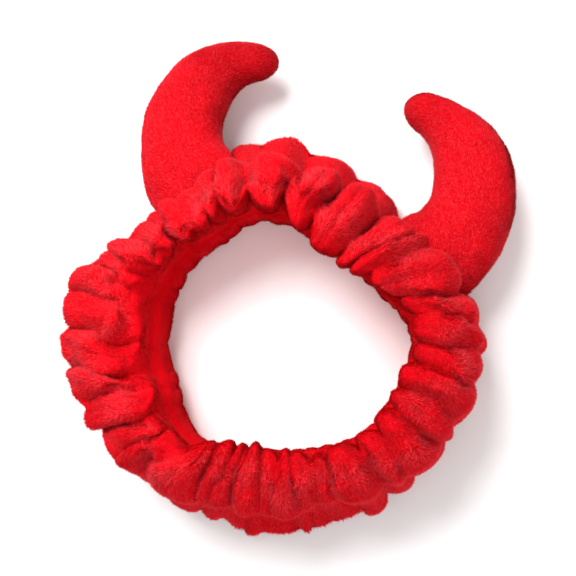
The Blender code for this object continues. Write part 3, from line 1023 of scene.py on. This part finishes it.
def ribs_group():
    """Shader group: fine knitted ribs, as a height from 0 to 1."""
    group, given, results = new_group("Ribs", {"Scale": "Float"}, {"Height": "Float"})
    along = group.nodes.new("ShaderNodeAttribute")
    along.attribute_name = "back"
    wave = calculated(group, "MULTIPLY", along.outputs["Fac"], given["Scale"])
    height = mapped(group, calculated(group, "SINE", wave), From_Min=-1.0, From_Max=1.0)
    group.links.new(height, results["Height"])


def lock_group():
    """Shader group: a lock of pile is darker at its root, painted shade deep in the pile; each lock has its
    own tone, and the highest tones take a painted highlight colour.
    """
    colours = {"Bright": "Color", "Tip": "Color", "Root": "Color"}
    group, given, results = new_group("Lock", colours, {"Color": "Color"})
    place = group.nodes.new("ShaderNodeUVMap")
    place.uv_map = "OFBake"
    split = add_node(group, "ShaderNodeSeparateXYZ", Vector=place.outputs[0])
    # Painted shade deep in the pile: the root colour at the root, going over to the tip colour up the lock.
    rise = mapped(group, split.outputs["Y"], From_Min=0.0, From_Max=0.75)
    tone = mapped(group, split.outputs["X"], To_Min=0.55, To_Max=1.0)
    # Painted highlight: the highest tones go over to the highlight colour towards their tips.
    glint = mapped(group, split.outputs["X"], From_Min=0.45, From_Max=1.0)
    colour = mix_colours(group, calculated(group, "MULTIPLY", rise, tone), given["Root"], given["Tip"])
    colour = mix_colours(group, calculated(group, "MULTIPLY", glint, rise), colour, given["Bright"])
    group.links.new(colour, results["Color"])


def place_group(tree, name, **sockets):
    """One of the shader groups, placed in a material with its own values."""
    node = tree.nodes.new("ShaderNodeGroup")
    node.node_tree = bpy.data.node_groups[name]
    for socket, value in sockets.items():
        node.inputs[socket.replace("_", " ")].default_value = value
    return node.outputs


def matt_material(name, roughness):
    """(material, its node tree, its shader's inputs) for a matt surface that isn't metal."""
    material = bpy.data.materials.new(name)
    material.use_nodes = True
    shader = material.node_tree.nodes["Principled BSDF"].inputs
    shader["Metallic"].default_value = 0.0
    shader["Specular IOR Level"].default_value = 0.03
    shader["Roughness"].default_value = roughness
    return material, material.node_tree, shader


def plush_material(name, roughness, sheen, tint):
    """A matt material with the soft bright edge of plush."""
    material, tree, shader = matt_material(name, roughness)
    shader["Sheen Weight"].default_value = sheen
    shader["Sheen Roughness"].default_value = 0.5
    shader["Sheen Tint"].default_value = tint
    return material, tree, shader


def cloth_material(name, light, dark, rib_scale=None):
    """The plush's ground, seen between its locks."""
    material, tree, shader = plush_material(name, roughness=0.95, sheen=0.12, tint=(1.0, 0.12, 0.16, 1.0))
    nap = place_group(tree, "Nap", Light=(*light, 1), Dark=(*dark, 1), Patch_Scale=55.0, Fibre_Scale=900.0)
    tree.links.new(nap["Color"], shader["Base Color"])
    bump = add_node(tree, "ShaderNodeBump", Strength=0.6, Distance=0.0007, Height=nap["Height"])
    if rib_scale:
        ribs = place_group(tree, "Ribs", Scale=rib_scale)
        under = bump.outputs[0]
        bump = add_node(
            tree, "ShaderNodeBump", Strength=0.5, Distance=0.0004, Height=ribs["Height"], Normal=under
        )
    tree.links.new(bump.outputs[0], shader["Normal"])
    return material


def pile_material(name, bright, tip, root):
    """The locks of pile, each with its own tone."""
    material, tree, shader = plush_material(name, roughness=0.8, sheen=0.17, tint=(1.0, 0.20, 0.25, 1.0))
    lock = place_group(tree, "Lock", Bright=(*bright, 1), Tip=(*tip, 1), Root=(*root, 1))
    tree.links.new(lock["Color"], shader["Base Color"])
    return material


class HEADBAND_OT_band(bpy.types.Operator):
    """Make the gathered band's cloth, in place of its plain solid."""

    bl_idname = "headband.band"
    bl_label = "Gathered band"

    def execute(self, context):
        band = context.scene.headband_band
        grid = band_grid(band)
        cloth = grid_object("band_cloth", grid)
        cloth.data.materials.append(cloth_material("band_cloth", tuple(band.colour), tuple(band.deep)))
        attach(cloth, "root")
        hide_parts("band")
        return {"FINISHED"}


class HEADBAND_OT_horns(bpy.types.Operator):
    """Make the two stuffed horns, in place of their plain solids."""

    bl_idname = "headband.horns"
    bl_label = "Stuffed horns"

    def execute(self, context):
        scene = context.scene
        horns = scene.headband_horns
        dark = tuple(HORN_DARK * x for x in horns.colour)
        rib_scale = 2 * math.pi / RIB_PITCH
        material = cloth_material("horn_cloth", tuple(horns.colour), dark, rib_scale)
        for row in HORNS:
            grid, back = horn_grid(scene.headband_band, horns, *row[1:])
            grid = trimmed(grid, back, bpy.data.objects["band_cloth"])
            horn = grid_object(row[0] + "_cloth", grid, cap=True)
            values = np.append(np.repeat(back, grid.shape[1]), [back[0], back[-1]])
            horn.data.attributes.new("back", "FLOAT", "POINT").data.foreach_set("value", values)
            horn.data.flip_normals()
            horn.data.materials.append(material)
            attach(horn, "root")
            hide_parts(row[0])
        return {"FINISHED"}


class HEADBAND_OT_pile(bpy.types.Operator):
    """Cover the band and the horns with their short pile."""

    bl_idname = "headband.pile"
    bl_label = "Pile"

    def execute(self, context):
        pile = context.scene.headband_pile
        colours = [tuple(colour) for colour in (pile.bright, pile.tip, pile.root)]
        self.cover_band(pile, pile_material("band_pile", *colours))
        # Painted shade on the horns: their pile takes the band's colours, darkened.
        horn_shade = [tuple(pile.horn_shade * x for x in colour) for colour in colours]
        self.cover_horns(pile, pile_material("horn_pile", *horn_shade))
        return {"FINISHED"}

    def cover_band(self, pile, material):
        """The band's pile in three pieces, longer along the crest, with a painted highlight there and
        painted shade on the inner face.
        """
        grid = grid_of("band_cloth")
        count, around = grid.shape[0] - 1, grid.shape[1]
        station = np.repeat(np.arange(count)[:, None] / count * len(STATIONS), around, axis=1)
        x, y = grid[:-1, :, 0] - RING_CENTRE[0], grid[:-1, :, 1] - RING_CENTRE[1]
        turn = np.degrees(np.arctan2(y, x)) % 360
        wander = 0.30 * np.sin(np.radians(9 * turn)) + 0.25 * np.sin(np.radians(16 * turn + 50))
        crest = bell(station, CREST + wander, 0.42)
        inner = bell(from_seam(station), 0, 1.1)
        lay = 1.6 * fractal(grid[:-1], size=0.016)
        uneven = fractal(grid[:-1], size=0.008, shift=4.0, octaves=1)
        stand = 1.04 - 0.24 * crest + 0.18 * uneven + 0.2 * inner
        length = pile.band_length * (0.78 + 0.42 * crest - 0.25 * inner)
        # Painted light on the band's locks: a painted highlight along the crest, and painted shade on the
        # inner face.
        painted_light = 0.22 * crest - 0.08 - 0.30 * inner
        for k, (name, third) in enumerate((("front", 1), ("left", 2), ("right", 0))):
            chosen = np.floor((turn + 30) % 360 / 120) == third
            rng = np.random.default_rng(BAND_SEED + k)
            obj = pile_object(
                "band_pile_" + name, grid, chosen, pile.on_band, length, pile.blade, rng, stand, lay, painted_light
            )
            self.finish(obj, material, "band_plush")

    def cover_horns(self, pile, material):
        for k, row in enumerate(HORNS):
            grid = grid_of(row[0] + "_cloth")[::-1]
            every = np.ones((grid.shape[0] - 1, grid.shape[1]))
            lay = 0.4 + 0.9 * fractal(grid[:-1], size=0.020)
            stand = 1.02 + 0.16 * fractal(grid[:-1], size=0.006, octaves=1)
            # All the horns' locks a little darker: painted shade on the horns.
            length, painted_light = pile.horn_length * every, -0.05 * every
            rng = np.random.default_rng(HORN_SEED + k)
            obj = pile_object(
                row[0] + "_pile", grid, every, pile.on_horn, length, pile.blade, rng, stand, lay, painted_light
            )
            self.finish(obj, material, "horn_plush")

    def finish(self, obj, material, slot):
        obj.data.materials.append(material)
        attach(obj, "root")


class HEADBAND_OT_stage(bpy.types.Operator):
    """Make the floor, the lights and the camera."""

    bl_idname = "headband.stage"
    bl_label = "Stage"

    def execute(self, context):
        scene = context.scene
        stage = scene.headband_stage
        mesh = bpy.data.meshes.new("floor")
        corners = [(x * FLOOR_REACH, y * FLOOR_REACH, 0) for x, y in ((-1, -1), (1, -1), (1, 1), (-1, 1))]
        mesh.from_pydata(corners, [], [(0, 1, 2, 3)])
        floor = linked_object("floor", mesh)
        material, _, shader = matt_material("floor", roughness=0.9)
        shader["Base Color"].default_value = (*stage.floor, 1)
        mesh.materials.append(material)
        world = bpy.data.worlds.new("studio")
        world.use_nodes = True
        background = world.node_tree.nodes["Background"]
        background.inputs["Color"].default_value = (1, 1, 1, 1)
        background.inputs["Strength"].default_value = stage.sky
        scene.world = world
        self.area_light("key", KEY_PLACE, KEY_SIZE, stage.key)
        self.area_light("fill", FILL_PLACE, FILL_SIZE, stage.fill)
        scene.view_settings.view_transform = "Standard"
        self.camera(scene)
        return {"FINISHED"}

    def area_light(self, name, place, size, power):
        light = bpy.data.lights.new(name, "AREA")
        light.shape = "DISK"
        light.size = size
        light.energy = power
        lamp = linked_object(name, light)
        lamp.location = place
        aim = Vector((0, 0, AIM_HEIGHT)) - Vector(place)
        lamp.rotation_euler = aim.to_track_quat("-Z", "Y").to_euler()

    def camera(self, scene):
        """The camera that puts the upper rim's middle at its place in the picture."""
        turn, rise = math.radians(CAMERA_TURN), math.radians(CAMERA_ELEVATION)
        back = Vector((math.sin(turn) * math.cos(rise), -math.cos(turn) * math.cos(rise), math.sin(rise)))
        up = Vector(CAMERA_UP)
        up = (up - back * up.dot(back)).normalized()
        right = up.cross(back)
        depth = CAMERA_DISTANCE - AIM_HEIGHT * back.z
        focal_px = PX_PER_M * depth
        x = (RIM_CENTRE_PX[0] - IMAGE_SIZE / 2) / focal_px * depth
        y = (IMAGE_SIZE / 2 - RIM_CENTRE_PX[1]) / focal_px * depth
        rim = Vector((*RING_CENTRE, RIM_HEIGHT))
        place = rim + depth * back - x * right - y * up
        data = bpy.data.cameras.new("camera")
        data.lens = focal_px / IMAGE_SIZE * data.sensor_width
        data.clip_start = 0.01
        camera = linked_object("camera", data)
        camera.matrix_world = Matrix.Translation(place) @ Matrix((right, up, back)).transposed().to_4x4()
        scene.camera = camera


class HEADBAND_PT_panel(bpy.types.Panel):
    """Lists what makes the headband."""

    bl_idname = "HEADBAND_PT_panel"
    bl_label = "Plush headband"
    bl_space_type = "VIEW_3D"
    bl_region_type = "UI"
    bl_category = "Headband"

    def draw(self, context):
        for operator in OPERATORS:
            self.layout.operator(operator.bl_idname)


OPERATORS = (HEADBAND_OT_band, HEADBAND_OT_horns, HEADBAND_OT_pile, HEADBAND_OT_stage)
SETTINGS = {
    "headband_band": HeadbandBand,
    "headband_horns": HeadbandHorns,
    "headband_pile": HeadbandPile,
    "headband_stage": HeadbandStage,
}


def register():
    for settings in SETTINGS.values():
        bpy.utils.register_class(settings)
    for name, settings in SETTINGS.items():
        setattr(bpy.types.Scene, name, PointerProperty(type=settings))
    for operator in OPERATORS:
        bpy.utils.register_class(operator)
    bpy.utils.register_class(HEADBAND_PT_panel)


def unregister():
    bpy.utils.unregister_class(HEADBAND_PT_panel)
    for operator in reversed(OPERATORS):
        bpy.utils.unregister_class(operator)
    for name, settings in SETTINGS.items():
        delattr(bpy.types.Scene, name)
        bpy.utils.unregister_class(settings)


def main():
    register()
    nap_group()
    ribs_group()
    lock_group()
    bpy.ops.headband.band()
    bpy.ops.headband.horns()
    bpy.ops.headband.pile()
    bpy.ops.headband.stage()


if __name__ == "__main__":
    main()
